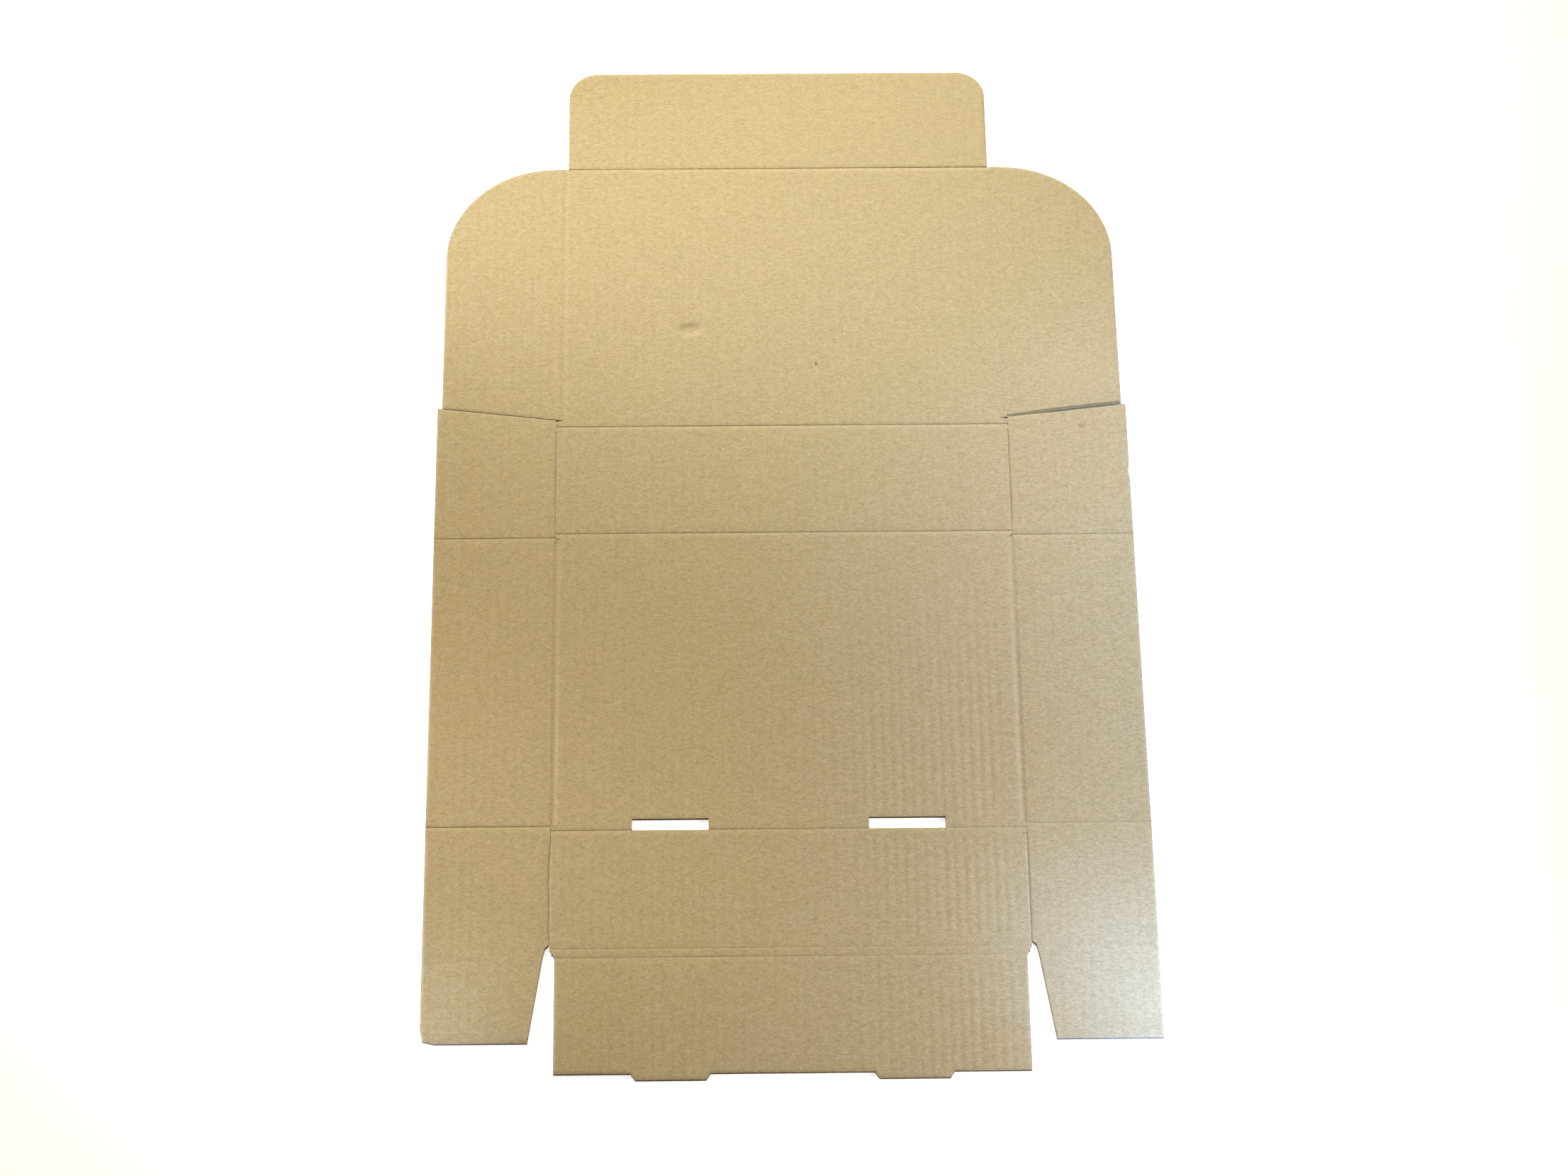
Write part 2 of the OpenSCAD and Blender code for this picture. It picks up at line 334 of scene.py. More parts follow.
def stations(length, step):
    """Shares of a length, close together near both ends, where the die has pinched the board."""
    ends = pinch_rows / length
    inner = np.linspace(ends[-1], 1 - ends[-1], max(2, int(round(length / step))))
    return np.concatenate([ends[:-1], inner, 1 - ends[-2::-1]])


def slab(cols, low, high, rows, top, under, runs_x=True, faces=(0, 1, 2), shift=in_place):
    """A closed sheet between low and high on each column: its points, quads and face finishes."""
    s = np.asarray(cols, float)[:, None]
    d = low(s) + (high(s) - low(s)) * np.asarray(rows)[None, :]
    s = np.broadcast_to(s, d.shape)
    x, y = (s, d) if runs_x else (d, s)
    upper, lower = top(x, y), under(x, y)
    x, y = shift(x, y)
    points = np.concatenate([np.stack([x, y, z], -1).reshape(-1, 3) for z in (upper, lower)])
    m, n = d.shape
    at = np.arange(m * n).reshape(m, n)
    below = at + m * n

    def quads(a, b, c, e):
        return np.stack([a, b, c, e], -1).reshape(-1, 4)

    parts = [
        (quads(at[:-1, :-1], at[1:, :-1], at[1:, 1:], at[:-1, 1:]), faces[0]),
        (quads(below[:-1, :-1], below[:-1, 1:], below[1:, 1:], below[1:, :-1]), faces[1]),
        (quads(below[:-1, 0], below[1:, 0], at[1:, 0], at[:-1, 0]), faces[2]),
        (quads(at[:-1, -1], at[1:, -1], below[1:, -1], below[:-1, -1]), faces[2]),
        (quads(below[0, 1:], below[0, :-1], at[0, :-1], at[0, 1:]), faces[2]),
        (quads(below[-1, :-1], below[-1, 1:], at[-1, 1:], at[-1, :-1]), faces[2]),
    ]
    corners = np.concatenate([p for p, finish in parts])
    finishes = np.concatenate([np.full(len(p), finish) for p, finish in parts])
    return points, corners if runs_x else corners[:, ::-1], finishes


def make_piece(name, sheets, materials):
    """One mesh object from closed sheets."""
    points, corners, finishes, count = [], [], [], 0
    for sheet_points, sheet_corners, sheet_finishes in sheets:
        points.append(sheet_points)
        corners.append(sheet_corners + count)
        finishes.append(sheet_finishes)
        count += len(sheet_points)
    mesh = bpy.data.meshes.new(name)
    mesh.from_pydata(np.concatenate(points).tolist(), [], np.concatenate(corners).tolist())
    for material in materials:
        mesh.materials.append(material)
    mesh.polygons.foreach_set("material_index", np.concatenate(finishes).astype(np.int32))
    mesh.shade_smooth()
    mesh.set_sharp_from_angle(angle=sharp_angle)
    piece = bpy.data.objects.new(name, mesh)
    scene.collection.objects.link(piece)
    return piece


# Geometry Nodes tree that bends a flat strip of medium into flutes
corrugate = bpy.data.node_groups.new("Corrugate Medium", "GeometryNodeTree")
for label, kind, default in (("Flat Medium", "NodeSocketGeometry", None),
                             ("Flute Pitch", "NodeSocketFloat", flute_pitch),
                             ("Flute Height", "NodeSocketFloat", 0.002),
                             ("Paper", "NodeSocketMaterial", None)):
    socket = corrugate.interface.new_socket(label, in_out="INPUT", socket_type=kind)
    if default is not None:
        socket.default_value = default
corrugate.interface.new_socket("Fluting", in_out="OUTPUT", socket_type="NodeSocketGeometry")
strip_in = corrugate.nodes.new("NodeGroupInput")
strip_out = corrugate.nodes.new("NodeGroupOutput")
strip_place = corrugate.nodes.new("GeometryNodeInputPosition").outputs[0]
across_flutes = add_node(corrugate, "ShaderNodeSeparateXYZ", Vector=strip_place).outputs[0]
turns = maths(corrugate, "DIVIDE", across_flutes, strip_in.outputs["Flute Pitch"])
wave = maths(corrugate, "COSINE", maths(corrugate, "MULTIPLY", turns, 2 * math.pi))
standing = add_node(corrugate, "GeometryNodeInputNamedAttribute", Name="standing").outputs["Attribute"]
full_height = maths(corrugate, "MULTIPLY", strip_in.outputs["Flute Height"], standing)
lift = maths(corrugate, "MULTIPLY", wave, maths(corrugate, "MULTIPLY", full_height, 0.5))
raised = add_node(corrugate, "ShaderNodeCombineXYZ", Z=lift)
bent = add_node(corrugate, "GeometryNodeSetPosition", Geometry=strip_in.outputs["Flat Medium"],
                Offset=raised.outputs[0])
joined = add_node(corrugate, "GeometryNodeRealizeInstances", Geometry=bent.outputs[0])
papered = add_node(corrugate, "GeometryNodeSetMaterial", Geometry=joined.outputs[0],
                   Material=strip_in.outputs["Paper"])
corrugate.links.new(papered.outputs[0], strip_out.inputs[0])


def bend_into_flutes(piece, height):
    """Bends a flat piece of medium into flutes, as a plain mesh."""
    values = {"Flute Pitch": flute_pitch, "Flute Height": height, "Paper": fluting_face}
    modifier = piece.modifiers.new("flutes", "NODES")
    modifier.node_group = corrugate
    for item in corrugate.interface.items_tree:
        if item.in_out == "INPUT" and item.name in values:
            modifier[item.identifier] = values[item.name]
    bpy.context.view_layer.update()
    shaped = piece.evaluated_get(bpy.context.evaluated_depsgraph_get())
    mesh = bpy.data.meshes.new_from_object(shaped)
    piece.modifiers.remove(modifier)
    piece.data = mesh


def with_breaks(places, breaks):
    """Sorted places, with a pair a hair apart at each break in an outline."""
    around = [at + off for at in breaks for off in (-jump, jump)]
    return np.unique(np.round(np.concatenate([*places, around]), 6))


def board_panel(node, first, last, low, high, breaks=(), rise=nowhere, shift=in_place, dip=nowhere,
                step=row_step, lean=0.0, fine=()):
    """A panel of board for a CAD node: two liners, and the fluted medium between them.

    rise lifts the whole board, dip presses its top down and shift moves its edges. lean is how much
    further the outer liner reaches than the inner one, at both ends. fine holds the extra rows that
    a dent or a wrinkle needs, as places along a panel with level ends.
    """
    spacing = flute_pitch / columns_per_flute
    probes = np.array([first, (first + last) / 2, last])
    length = float(np.max(high(probes) - low(probes)))
    first_inner = math.ceil((first + edge_margin) / spacing)
    last_inner = math.floor((last - edge_margin) / spacing)
    inner = np.arange(first_inner, last_inner + 1) * spacing
    cols = with_breaks([first + edge_columns, inner, last - edge_columns], breaks)
    rows = stations(length, step) if length > row_step else np.linspace(0, 1, short_rows)
    rows = np.unique(np.concatenate([rows, (np.asarray(fine) - low(probes[1:2])) / length]))
    height = caliper - 2 * liner - medium - 2 * washboard

    def pinched(x, y):
        near = np.minimum(np.minimum(x - first, last - x), np.minimum(y - low(x), high(x) - y))
        return pinch * (1 - smooth(near / pinch_reach)) * flute_height(x, y)

    def leaning(x, y):
        return shift(x + lean * np.sign(x) * smooth((np.abs(x) - last) / lean_reach + 1), y)

    def floor_z(x, y):
        return sway(x, y) + rise(x, y)

    def top_z(x, y):
        return caliper + floor_z(x, y) - sink(x, y) - pinched(x, y) - dip(x, y)

    def under_z(x, y):
        return floor_z(x, y) + 0.5 * sink(x, y)

    def core_z(x, y):
        return caliper / 2 + floor_z(x, y) - 0.5 * dip(x, y)

    inner_liner = slab(cols, low, high, rows, top_z, lambda x, y: top_z(x, y) - liner, faces=(0, 2, 2),
                       shift=shift)
    outer_liner = slab(cols, low, high, rows, lambda x, y: under_z(x, y) + liner, under_z, faces=(2, 1, 2),
                       shift=leaning)
    liners = make_piece(node + "_liners", [inner_liner, outer_liner], board_faces)
    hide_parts(node)
    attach(liners, node)

    medium_cols = np.arange(first + medium_inset, last - medium_inset, flute_pitch / medium_columns)
    medium_rows = np.append(rows[:-1:rows_to_medium], 1)
    strip = slab(medium_cols, lambda x: low(x) + medium_inset, lambda x: high(x) - medium_inset, medium_rows,
                 lambda x, y: core_z(x, y) + medium / 2, lambda x, y: core_z(x, y) - medium / 2,
                 faces=(0, 0, 0), shift=shift)
    core = make_piece(node + "_fluting", [strip], [fluting_face])
    flat_x, flat_y = strip[0][:, 0], strip[0][:, 1]
    left_standing = (1 - dip(flat_x, flat_y) / height).astype(np.float32)
    core.data.attributes.new("standing", "FLOAT", "POINT").data.foreach_set("value", left_standing)
    bend_into_flutes(core, height)
    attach(core, node)


def level(y):
    return lambda x: np.full(np.shape(x), float(y))


def in_slot(x):
    return (np.abs(x) > slot_first) & (np.abs(x) < slot_last)


def base_front(x):
    """Front edge of the base inside its crease, set back where a slot is punched."""
    return np.where(in_slot(x), front_y + slot_depth, front_y + crease_half)


slot_ends = [side * end for side in (-1, 1) for end in (slot_first, slot_last)]
board_panel("base_panel", -side_x + crease_half, side_x - crease_half, base_front,
            level(back_y - crease_half), slot_ends)

# Side walls: plain strips of board on either side of the base, each with a corner flap on both ends.
# The right one has been bent and flattened again, which left two soft wrinkles near its outer edge.
side_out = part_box("side_wall_right")[1][0]
flap_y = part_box("side_wall_right")[1][1]
wrinkle_x, wrinkle_y = 0.222, -0.047
wrinkle_reach, wrinkle_depth = 0.016, 0.00035
near_slant, near_half = 0.5, 0.0022
far_back, far_slant, far_half, far_share = 0.013, 0.9, 0.0018, 0.7
wrinkles_front, wrinkles_rear, wrinkle_step = 0.035, 0.018, 0.001
wrinkle_rows = np.arange(wrinkle_y - wrinkles_front, wrinkle_y + wrinkles_rear, wrinkle_step)


def wrinkles(x, y):
    off_x, off_y = x - wrinkle_x, y - wrinkle_y
    along = np.exp(-((off_x / wrinkle_reach) ** 2))
    near = np.exp(-(((off_y - near_slant * off_x) / near_half) ** 2))
    far = np.exp(-(((off_y + far_back - far_slant * off_x) / far_half) ** 2))
    return wrinkle_depth * along * (near + far_share * far)


for side, hand in ((-1, "left"), (1, "right")):
    edges = sorted((side * (side_x + crease_half), side * side_out))
    board_panel("side_wall_" + hand, *edges, level(-flap_y + crease_half), level(flap_y - crease_half),
                dip=wrinkles if side > 0 else nowhere, fine=wrinkle_rows if side > 0 else ())

# Corner flaps: the rear pair lie against the back wall, and end at a slanting cut along the lid's
# wings; the front pair are long, tapered along their lower edge, and caught inside the double front.
# Handling has nicked the right rear flap, curled the left one and blunted the left front one.
solid_gap = 0.0005
slant_gap = 0.000504
knife_gap = 0.0004
knife_lean = 0.00032
wing_gap = 0.0007
rear_flap_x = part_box("rear_corner_flap_right")[0][0] - solid_gap
front_flap_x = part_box("front_corner_flap_right")[0][0] - solid_gap
flap_end_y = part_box("front_corner_flap_right")[0][1]
spine_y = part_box("front_wall")[0][1]
wing_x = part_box("lid_wing_right")[0][0]
wing_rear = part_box("lid_wing_right")[0][1]
wing_slope = (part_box("rear_corner_flap_right")[1][1] + slant_gap - wing_rear) / (side_out - wing_x)
taper_in, taper_out, taper_step = 0.005, 0.015, 0.003
nick_y, nick_half, nick_depth, nick_reach = 0.1585, 0.004, 0.0008, 0.004
blunt_reach, blunt_depth = 0.011, 0.0016
tear_x, tear_reach = 0.1556, 0.006
tear_rear, tear_front, tear_fade = -0.116, -0.194, 0.01
tear_waves = ((0.00035, 120, 0.5), (0.00015, 410, 0.0))
jag_y, jag_half, jag_depth = -0.174, 0.004, 0.0004
curl_rise, curl_start, curl_run = 0.0003, 0.04, 0.06
curl_width, curl_least = 0.05, 0.4
worn_step = 0.002


def wing_rear_y(x):
    return wing_rear + wing_slope * (np.abs(x) - wing_x)


def rear_flap_end(x):
    return wing_rear_y(x) - np.where(x < 0, wing_gap, knife_gap)


def front_flap_edge(x):
    """End and tapered lower edge of a front corner flap."""
    return np.interp(np.abs(x), [front_flap_x, side_x + taper_in, side_x + taper_out, side_out],
                     [spine_y + taper_step, spine_y, flap_end_y, flap_end_y])


def nicked(x, y):
    near_edge = smooth((x - side_out + nick_reach) / nick_reach)
    return x - nick_depth * near_edge * np.exp(-(((y - nick_y) / nick_half) ** 2)), y


def torn(x, y):
    """The left front slit is torn more than cut, so both of its edges wander, with a jag half way."""
    near = smooth(1 - np.abs(x + tear_x) / tear_reach)
    near = near * smooth((tear_rear - y) / tear_fade) * smooth((y - tear_front) / tear_fade)
    wander = sum(size * (1 + np.sin(turn * y + start)) for size, turn, start in tear_waves)
    jag = jag_depth * np.exp(-(((y - jag_y) / jag_half) ** 2))
    return x - near * (wander + jag), y


def torn_and_blunted(x, y):
    x, y = torn(x, y)
    from_corner = np.hypot(x + side_out, y - flap_end_y)
    push = blunt_depth * smooth(1 - from_corner / blunt_reach)
    return x + push, y + push


def curled_end(x, y):
    along = smooth((y - flap_y - curl_start) / curl_run)
    return curl_rise * along * smooth((np.abs(x) - rear_flap_x) / curl_width + curl_least)


for side, hand in ((-1, "left"), (1, "right")):
    edges = sorted((side * rear_flap_x, side * side_out))
    board_panel("rear_corner_flap_" + hand, *edges, level(flap_y + crease_half), rear_flap_end,
                rise=curled_end if side < 0 else nowhere, shift=nicked if side > 0 else in_place,
                step=worn_step if side > 0 else row_step)
    edges = sorted((side * front_flap_x, side * side_out))
    board_panel("front_corner_flap_" + hand, *edges, front_flap_edge, level(-flap_y - crease_half),
                [side * (side_x + taper_out)], shift=torn_and_blunted if side < 0 else in_place,
                step=worn_step if side < 0 else row_step)

# Back wall and lid: two plain panels in line behind the base. Someone has pressed a thumb into the
# lid, which left a shallow oval dent in the liner.
lid_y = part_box("back_wall")[1][1]
back_x = rear_flap_x - knife_gap
tuck_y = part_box("lid_panel")[1][1]
dent_x, dent_y = -0.0627, 0.2758
dent_half_x, dent_half_y, dent_depth = 0.0085, 0.0055, 0.0013
dent_rim = 1.25
dent_reach, dent_step = 0.008, 0.0008
dent_rows = np.arange(dent_y - dent_reach, dent_y + dent_reach, dent_step)


def thumb_dent(x, y):
    oval = np.hypot((x - dent_x) / dent_half_x, (y - dent_y) / dent_half_y)
    return dent_depth * smooth(dent_rim - oval)


board_panel("back_wall", -back_x, back_x, level(back_y + crease_half), level(lid_y - crease_half),
            lean=knife_lean)
board_panel("lid_panel", -wing_x + crease_half, wing_x - crease_half, level(lid_y + crease_half),
            level(tuck_y - crease_half), dip=thumb_dent, fine=dent_rows)

# Lid wings: they go down inside the side walls, so their front corners are cut to a big round and
# their rear edges slant. The right one has sprung up a little along its cut, with its edge rolled over.
wing_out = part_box("lid_wing_right")[1][0]
wing_round = 0.075
spring_rise, spring_run, spring_width = 0.0018, 0.06, 0.04
wing_roll, roll_reach = 0.0012, 0.0016


def wing_front(x):
    off = np.clip(np.abs(x) - (wing_out - wing_round), 0, wing_round)
    return tuck_y - wing_round + np.sqrt(wing_round ** 2 - off ** 2)


def sprung_wing(x, y):
    along = smooth(1 - (y - wing_rear_y(x)) / spring_run)
    return spring_rise * along * smooth((x - wing_x - crease_half) / spring_width)


def rolled_edge(x, y):
    return wing_roll * (1 - smooth((y - wing_rear_y(x)) / roll_reach))


for side, hand in ((-1, "left"), (1, "right")):
    edges = sorted((side * (wing_x + crease_half), side * wing_out))
    board_panel("lid_wing_" + hand, *edges, wing_rear_y, wing_front,
                rise=sprung_wing if side > 0 else nowhere, dip=rolled_edge if side > 0 else nowhere)

# Tuck flap: the lid's front flap, which slides down behind the front wall. Its free corners are round.
# It is cut from the same sheet, with the flutes open along its far edge.
tuck_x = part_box("tuck_flap")[1][0]
top_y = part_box("tuck_flap")[1][1]
tuck_round = 0.021


def tuck_end(x):
    off = np.clip(np.abs(x) - (tuck_x - tuck_round), 0, tuck_round)
    return top_y - tuck_round + np.sqrt(tuck_round ** 2 - off ** 2)


board_panel("tuck_flap", -tuck_x, tuck_x, level(tuck_y + crease_half), tuck_end)

# Front wall, spine and roll-over flap: the front is folded double over the corner flaps, round a spine
# two boards wide between a pair of creases. Two tabs on the roll-over's end lock into the base's slots.
front_x = front_flap_x - knife_gap
front_step = 0.0025
roll_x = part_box("rollover_flap")[1][0]
roll_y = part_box("front_spine")[0][1]
tab_end_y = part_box("rollover_flap")[0][1]
spine_half = 0.0024
spine_taper = (front_x - roll_x) / (spine_y - roll_y)
spine_x = roll_x + spine_taper * (spine_y - roll_y - spine_half)
tab_length, tab_tip, tab_flare = 0.0045, 0.0226, 0.0028
tab_x = (slot_first + slot_last) / 2
tab_corners = [side * tab_x + off for side in (-1, 1) for half in (tab_tip, tab_tip + tab_flare)
               for off in (-half, half)]


def rollover_end(x):
    off = np.abs(np.abs(x) - tab_x)
    return tab_end_y + tab_length * (1 - np.clip((tab_tip + tab_flare - off) / tab_flare, 0, 1))


board_panel("front_wall", -front_x, front_x, level(spine_y + crease_half), level(front_y - crease_half),
            shift=torn, step=front_step, lean=knife_lean)
board_panel("front_spine", -spine_x, spine_x, level(roll_y + spine_half), level(spine_y - spine_half))
board_panel("rollover_flap", -roll_x, roll_x, rollover_end, level(roll_y - crease_half), tab_corners)

# Creases: lines pressed into the inside face, which crush the flutes and let the board fold. Each is a
# strip of crushed board between its two panels. One across the flutes is a small steep step
# behind the line with a wide shoulder in front of it; one along the flutes is a soft, even dip.
press_depth, spine_depth, rollover_depth, wing_depth = 0.0006, 0.0003, 0.0004, 0.00022
shoulder_behind = 0.003
step_half, step_share = 0.0005, 0.58
soft_half, soft_spacing = 0.003, 0.003
press_wander, wander_fine, wander_start, wander_broad = 0.12, 61, 1.3, 23
bead_share = 0.1
groove_gather, groove_count = 1.7, 23
evenly = np.linspace(-1, 1, groove_count)
groove_rows = 0.5 + 0.5 * np.sign(evenly) * np.abs(evenly) ** groove_gather
back_end = back_x + knife_lean
front_end = front_x + knife_lean
corner_gap = 0.0002
hook_gap, hook_round = 0.0005, 0.0012


def crease_strip(name, bodies, line, first, last, low, high, runs_x=True, depth=press_depth, breaks=(), out=1,
                 shoulder=crease_half):
    """A pressed strip along a crease line, between two panels; bodies and out are not used."""
    spacing = flute_pitch / columns_per_flute if runs_x else soft_spacing
    cols = with_breaks([np.arange(first, last, spacing), [last]], breaks)

    def groove(x, y):
        along, off = (x, y - line) if runs_x else (y, x - line)
        uneven = np.sin(wander_fine * along + wander_start) * np.sin(wander_broad * along)
        wander = 1 + press_wander * uneven
        if not runs_x:
            return depth * wander * np.maximum(1 - (off / soft_half) ** 2, 0) ** 2
        beads = 1 - bead_share * np.cos(2 * math.pi * x / flute_pitch)
        front = np.clip(1 + off / shoulder, 0, 1) ** 2
        step = np.clip(1 - off / step_half, 0, 1) ** 2
        behind = np.clip(1 - off / shoulder_behind, 0, 1) ** 2
        profile = np.where(off < 0, front, step_share * step + (1 - step_share) * behind)
        return depth * beads * wander * profile

    sheet = slab(cols, low, high, groove_rows, lambda x, y: caliper + sway(x, y) - groove(x, y), sway, runs_x)
    strip = make_piece(name, [sheet], board_faces)
    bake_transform(strip)


def back_near(x):
    """The base's side of the back crease, which ends at the flap creases past the side creases."""
    return np.where(np.abs(x) > side_x, flap_y + corner_gap, back_y - crease_half)


def lid_far(x):
    """The lid's side of its crease, with a small hooked end under each wing."""
    out = np.clip((np.abs(x) - wing_x) / (back_x - wing_x), 0, 1)
    return np.where(np.abs(x) > wing_x, wing_rear - hook_gap - hook_round * out ** 2, lid_y + crease_half)


def tuck_far(x):
    return np.where(np.abs(x) > tuck_x, tuck_y, tuck_y + crease_half)


def front_near(x):
    """The base's side of the front crease, which stops at each slot and past the side creases."""
    edge = np.where(in_slot(x), front_y, front_y + crease_half)
    return np.where(np.abs(x) > side_x, -flap_y - corner_gap, edge)


def spine_far(x):
    return spine_y - np.minimum(spine_half, (front_x - np.abs(x)) / spine_taper)


def rollover_far(x):
    past = np.abs(x) - roll_x
    return np.where(past > 0, roll_y + past / spine_taper, roll_y - crease_half)


crease_strip("back_crease_line", ("base_panel", "back_wall"), back_y, -back_end, back_end, back_near,
             level(back_y + crease_half), breaks=(-side_x, side_x))
crease_strip("lid_crease_line", ("back_wall", "lid_panel"), lid_y, -back_end, back_end,
             level(lid_y - crease_half), lid_far, breaks=(-wing_x, wing_x))
crease_strip("tuck_crease_line", ("lid_panel", "tuck_flap"), tuck_y, -wing_x, wing_x,
             level(tuck_y - crease_half), tuck_far, breaks=(-tuck_x, tuck_x))
crease_strip("front_crease_line", ("base_panel", "front_wall"), front_y, -front_end, front_end,
             level(front_y - crease_half), front_near, breaks=slot_ends + [-side_x, side_x], out=-1)
crease_strip("spine_crease_line", ("front_wall", "front_spine"), spine_y, -front_x, front_x, spine_far,
             level(spine_y + crease_half), depth=spine_depth, out=-1, shoulder=spine_half)
crease_strip("rollover_crease_line", ("front_spine", "rollover_flap"), roll_y, -spine_x, spine_x,
             rollover_far, level(roll_y + spine_half), depth=rollover_depth, breaks=(-roll_x, roll_x), out=-1)


def wing_crease_near(y):
    return np.where(y > tuck_y - crease_half, wing_x, wing_x - crease_half)


def wing_crease_far(y):
    return np.where(y < wing_rear, wing_x, wing_x + crease_half)


def side_crease_near(y):
    return np.where(np.abs(y) > back_y - crease_half, side_x, side_x - crease_half)


def side_crease_far(y):
    flap_edge = np.where(y > 0, rear_flap_x, front_flap_x)
    return np.where(np.abs(y) > flap_y - crease_half, flap_edge, side_x + crease_half)


def sided(side, near, far):
    """Low and high edges across a crease on one side, from its distances out from the middle."""
    if side > 0:
        return near, far
    return (lambda y: -far(y)), (lambda y: -near(y))


side_breaks = [end * (y - crease_half) for end in (-1, 1) for y in (back_y, flap_y)]
for side, hand in ((-1, "left"), (1, "right")):
    wall = "side_wall_" + hand
    crease_strip("wing_crease_line_" + hand, ("lid_panel", "lid_wing_" + hand), side * wing_x,
                 lid_y + crease_half, tuck_y, *sided(side, wing_crease_near, wing_crease_far), runs_x=False,
                 depth=wing_depth, breaks=(tuck_y - crease_half, wing_rear), out=side)
    crease_strip("side_crease_line_" + hand, ("base_panel", wall), side * side_x, -flap_y, flap_y,
                 *sided(side, side_crease_near, side_crease_far), runs_x=False, breaks=side_breaks, out=side)
    for end, label, inner in ((1, "rear", rear_flap_x), (-1, "front", front_flap_x)):
        edges = sorted((side * inner, side * side_out))
        crease_strip(f"{label}_flap_crease_line_{hand}", (wall, f"{label}_corner_flap_{hand}"), end * flap_y,
                     *edges, level(end * flap_y - crease_half), level(end * flap_y + crease_half), out=end)

# Table, light and camera: a white table top under a broad warm window behind the lid, with cooler
# window light from the left and small patches of daylight along the right and at the front corners.
# The camera looks down from the front, as the photograph does.
table_half, table_drop = 3.0, 0.0003
table_glow = 0.75
table_white, table_roughness = (0.93, 0.93, 0.93, 1), 0.9
room_strength = 0.19
warm_room = (1, 0.905, 0.605, 1)
pure_white = (1, 1, 1, 1)
photo_w = 2212
sensor_mm = 36
focal_px = 6189.0
camera_at = (-0.0434, -1.3889, 2.5673)
camera_elevation, camera_azimuth, camera_roll = 60.381, 1.681, 0.996

table_mesh = bpy.data.meshes.new("table_top")
table_corners = [(x * table_half, y * table_half, -table_drop)
                 for x, y in ((-1, -1), (1, -1), (1, 1), (-1, 1))]
table_mesh.from_pydata(table_corners, [], [(0, 1, 2, 3)])
table = bpy.data.objects.new("table_top", table_mesh)
scene.collection.objects.link(table)
white = bpy.data.materials.new("white_table")
white.use_nodes = True
surface = white.node_tree
lacquer = surface.nodes["Principled BSDF"]
lacquer.inputs["Base Color"].default_value = table_white
lacquer.inputs["Roughness"].default_value = table_roughness
lacquer.inputs["Emission Color"].default_value = pure_white
to_camera = surface.nodes.new("ShaderNodeLightPath").outputs["Is Camera Ray"]
glow = maths(surface, "MULTIPLY", to_camera, table_glow)
surface.links.new(glow, lacquer.inputs["Emission Strength"])
table_mesh.materials.append(white)

scene.world = bpy.data.worlds.new("soft_room")
scene.world.use_nodes = True
room = scene.world.node_tree
sky = room.nodes["Background"]
seen = room.nodes.new("ShaderNodeLightPath").outputs["Is Camera Ray"]
room.links.new(mixed(room, seen, warm_room, pure_white), sky.inputs["Color"])
sky_strength = add_node(room, "ShaderNodeMix", i0=seen, i2=room_strength, i3=1.0)
room.links.new(sky_strength.outputs[0], sky.inputs["Strength"])


def add_lamp(light, place, target, power, colour):
    """Puts a lamp at a place, aimed at a target."""
    light.energy = power
    light.color = colour
    holder = bpy.data.objects.new(light.name, light)
    holder.location = place
    holder.rotation_euler = (Vector(place) - Vector(target)).to_track_quat("Z", "Y").to_euler()
    scene.collection.objects.link(holder)


def spot_lamp(name, place, target, power, colour, size, cone):
    """A round lamp with a wide soft edge."""
    light = bpy.data.lights.new(name, "SPOT")
    light.spot_size = math.radians(cone)
    light.spot_blend = 1
    light.shadow_soft_size = size / 2
    add_lamp(light, place, target, power, colour)


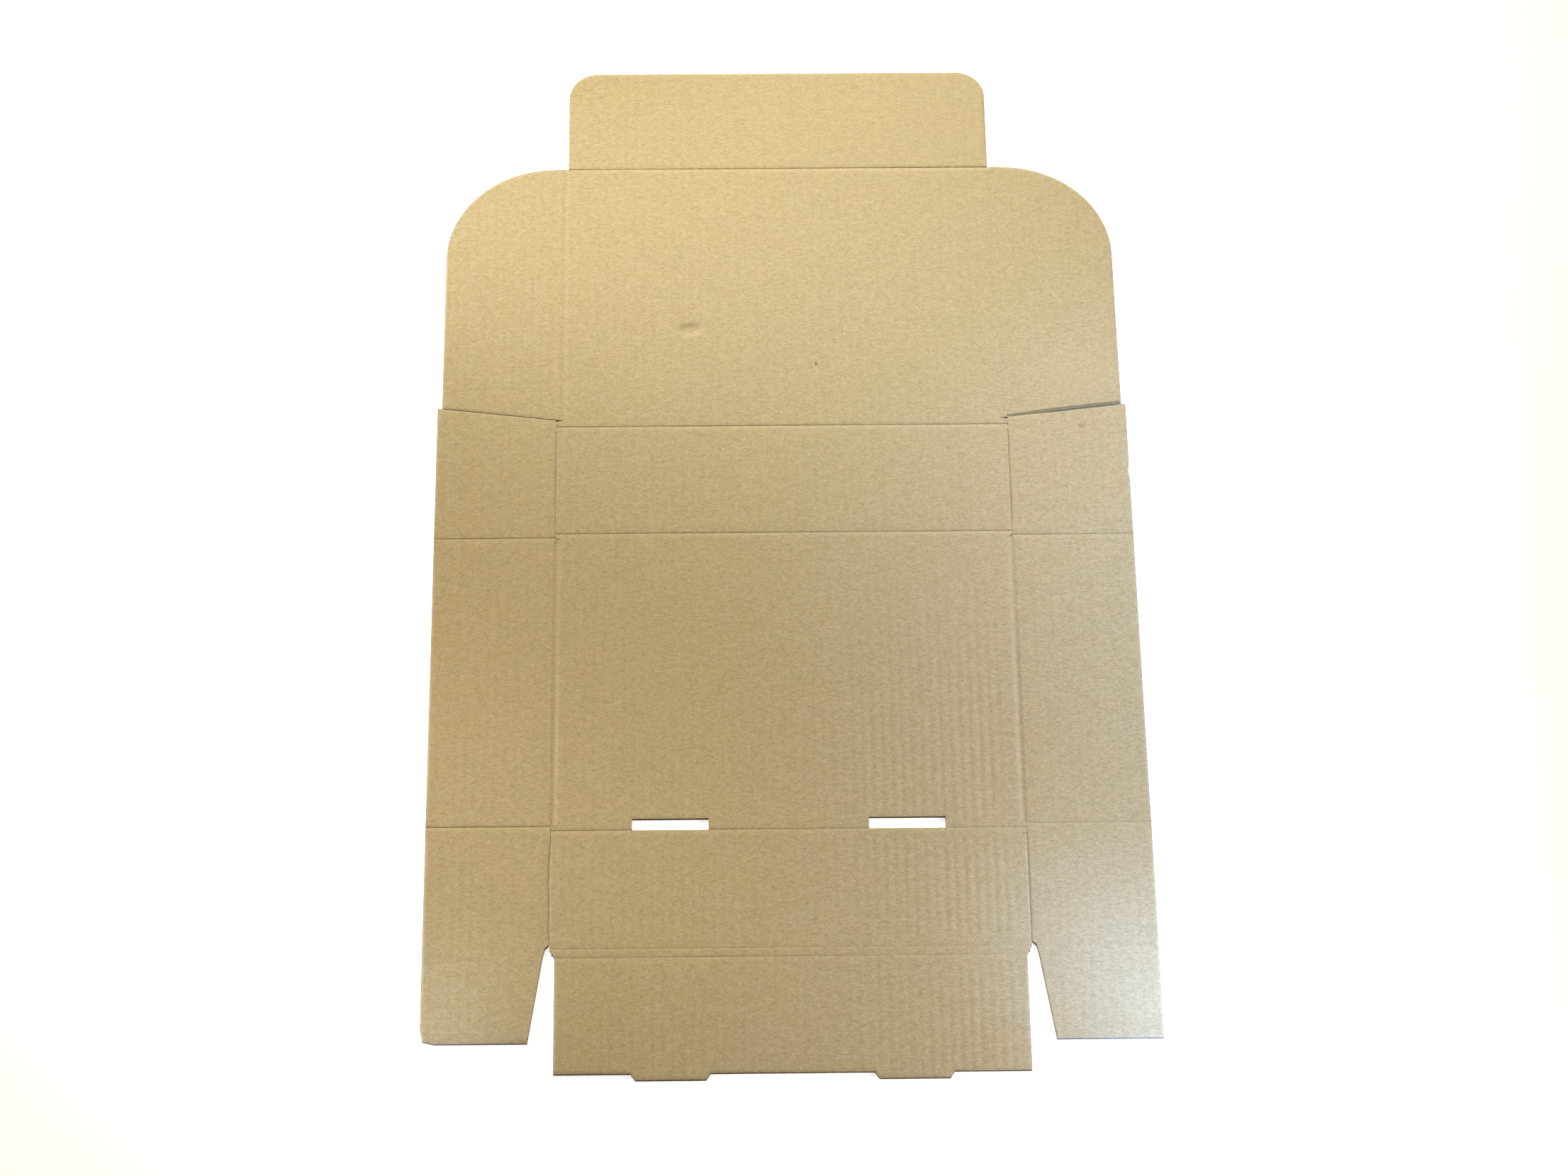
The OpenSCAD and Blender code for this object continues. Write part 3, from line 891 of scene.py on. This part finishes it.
def window_lamp(name, place, target, power, colour, size, cone):
    """A window of two sizes that shines in a cone."""
    light = bpy.data.lights.new(name, "AREA")
    light.shape = "RECTANGLE"
    light.size, light.size_y = size
    light.spread = math.radians(cone)
    add_lamp(light, place, target, power, colour)


window_lamp("window_behind", (-0.3, 1.6, 1.2), (0, 0.3, 0), power=13.6, colour=(1, 0.76, 0.3),
            size=(1.2, 1.2), cone=180)
window_lamp("daylight_right", (0.66, -0.07, 0.38), (0.24, -0.07, 0), power=1.1, colour=(0.39, 0.56, 1),
            size=(0.75, 0.1), cone=46)
spot_lamp("window_on_lid", (0.2, 1.3, 0.8), (0.13, 0.55, 0), power=44, colour=(0.9, 1, 0.94),
          size=0.3, cone=41)
spot_lamp("window_left", (-0.9, 0.6, 0.6), (-0.23, 0.38, 0), power=58, colour=(0.75, 0.86, 0.97),
          size=0.3, cone=34)
spot_lamp("window_front_left", (-1.1, 0.5, 0.7), (-0.24, -0.12, 0), power=72, colour=(0.86, 0.92, 0.98),
          size=0.3, cone=24)
spot_lamp("daylight_front_right", (0.95, -0.75, 0.45), (0.25, -0.27, 0), power=12.7, colour=(1, 0.82, 0.2),
          size=0.2, cone=28)
spot_lamp("daylight_corner", (0.75, -0.75, 0.6), (0.25, -0.248, 0), power=139, colour=(0.2, 0.4, 1),
          size=0.12, cone=10)
spot_lamp("daylight_left_corner", (-0.75, -0.75, 0.6), (-0.265, -0.275, 0), power=79, colour=(0.47, 0.64, 1),
          size=0.12, cone=7)

view = bpy.data.cameras.new("photo_view")
view.sensor_width = sensor_mm
view.lens = focal_px * view.sensor_width / photo_w
camera = bpy.data.objects.new("photo_view", view)
camera.location = camera_at
camera.rotation_mode = "QUATERNION"
swing = Matrix.Rotation(math.radians(-camera_azimuth), 3, "Z")
tilt = Matrix.Rotation(math.radians(90 - camera_elevation), 3, "X")
roll = Matrix.Rotation(math.radians(camera_roll), 3, "Z")
camera.rotation_quaternion = (swing @ tilt @ roll).to_quaternion()
scene.collection.objects.link(camera)
scene.camera = camera
scene.view_settings.view_transform = "Standard"
